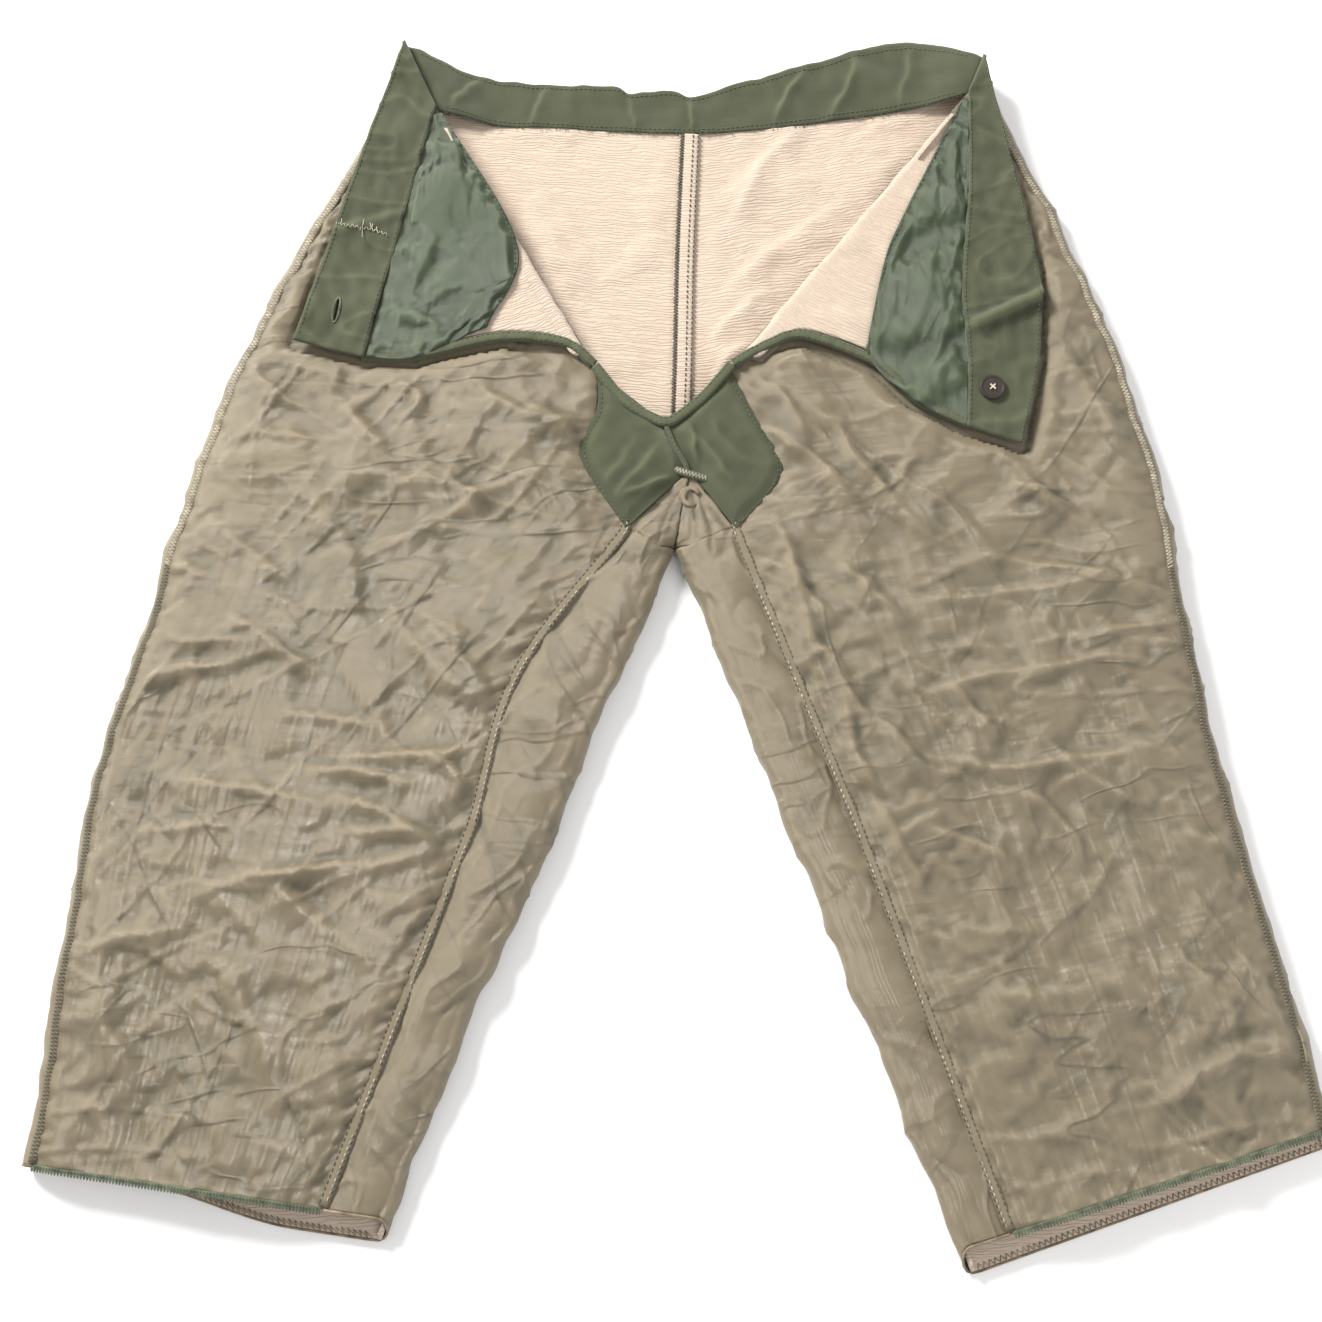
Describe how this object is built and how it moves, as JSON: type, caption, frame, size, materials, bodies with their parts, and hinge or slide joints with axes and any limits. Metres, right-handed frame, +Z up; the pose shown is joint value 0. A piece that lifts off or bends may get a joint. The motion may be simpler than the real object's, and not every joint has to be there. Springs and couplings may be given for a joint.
{
  "type": "trouser liner",
  "caption": "Pile-lined trouser liner laid on its back, fly open, both fronts turned outwards; the fronts close over and each leg folds at the knee.",
  "frame": {"origin": "on the floor, under the middle of the laid garment's box", "axes": "+Z up, away from the floor; +Y towards the waist, -Y towards the hems; +X to the side of the button front"},
  "size_m": [0.8024, 0.8316, 0.0292],
  "materials": {
    "shell_nylon": "crisp satiny taupe-grey nylon, creased",
    "pile_lining": "cream pile, matt, with fine cross ribs",
    "green_twill": "matt olive green cotton twill",
    "green_nylon": "satiny green nylon, creased",
    "seam_thread": "grey-green thread over a doubled seam, with cream pile in the stitches",
    "green_thread": "green overlock thread",
    "button_plastic": "dark brown plastic, slightly polished"
  },
  "bodies": {
    "trouser": {"left_back_shell": "shell_nylon", "left_back_lining": "pile_lining", "left_front_shell": "shell_nylon", "left_front_lining": "pile_lining", "left_inseam": "seam_thread", "left_outseam": "seam_thread", "left_gusset": "green_twill", "right_back_shell": "shell_nylon", "right_back_lining": "pile_lining", "right_front_shell": "shell_nylon", "right_front_lining": "pile_lining", "right_inseam": "seam_thread", "right_outseam": "seam_thread", "right_gusset": "green_twill", "fly_point_binding": "green_twill", "crotch_seam": "seam_thread", "centre_back_seam": "seam_thread", "back_waistband_left": "green_twill", "back_waistband_centre": "green_twill", "back_waistband_right": "green_twill"},
    "left_flap": {"left_flap_shell": "shell_nylon", "left_flap_lining": "pile_lining", "left_fly_facing": "green_nylon", "left_waistband_front": "green_twill", "left_fly_binding": "green_twill", "buttonhole_stitching": "green_thread", "waistband_bartack": "seam_thread"},
    "right_flap": {"right_flap_shell": "shell_nylon", "right_flap_lining": "pile_lining", "right_fly_facing": "green_nylon", "right_waistband_front": "green_twill", "right_fly_binding": "green_twill", "button": "button_plastic", "button_thread": "seam_thread"},
    "left_lower_leg": {"left_lower_back_shell": "shell_nylon", "left_lower_back_lining": "pile_lining", "left_lower_front_shell": "shell_nylon", "left_lower_front_lining": "pile_lining", "left_lower_inseam": "seam_thread", "left_lower_outseam": "seam_thread", "left_hem_overlock": "green_thread"},
    "right_lower_leg": {"right_lower_back_shell": "shell_nylon", "right_lower_back_lining": "pile_lining", "right_lower_front_shell": "shell_nylon", "right_lower_front_lining": "pile_lining", "right_lower_inseam": "seam_thread", "right_lower_outseam": "seam_thread", "right_hem_overlock": "green_thread"}
  },
  "joints": [
    {"name": "left_flap_fold", "type": "hinge", "parent": "trouser", "child": "left_flap", "pos_m": [-0.11149, 0.26192, 0.0186], "axis": [-0.5014, 0.8652, 0], "range_deg": [0, 180]},
    {"name": "right_flap_fold", "type": "hinge", "parent": "trouser", "child": "right_flap", "pos_m": [0.11601, 0.26892, 0.0186], "axis": [-0.6302, -0.7765, 0], "range_deg": [0, 174]},
    {"name": "left_leg_fold", "type": "hinge", "parent": "trouser", "child": "left_lower_leg", "pos_m": [-0.22782, -0.131, 0.0198], "axis": [-0.9945, 0.1045, 0], "range_deg": [0, 160]},
    {"name": "right_leg_fold", "type": "hinge", "parent": "trouser", "child": "right_lower_leg", "pos_m": [0.20543, -0.12301, 0.0198], "axis": [-0.9848, -0.1736, 0], "range_deg": [0, 160]}
  ]
}
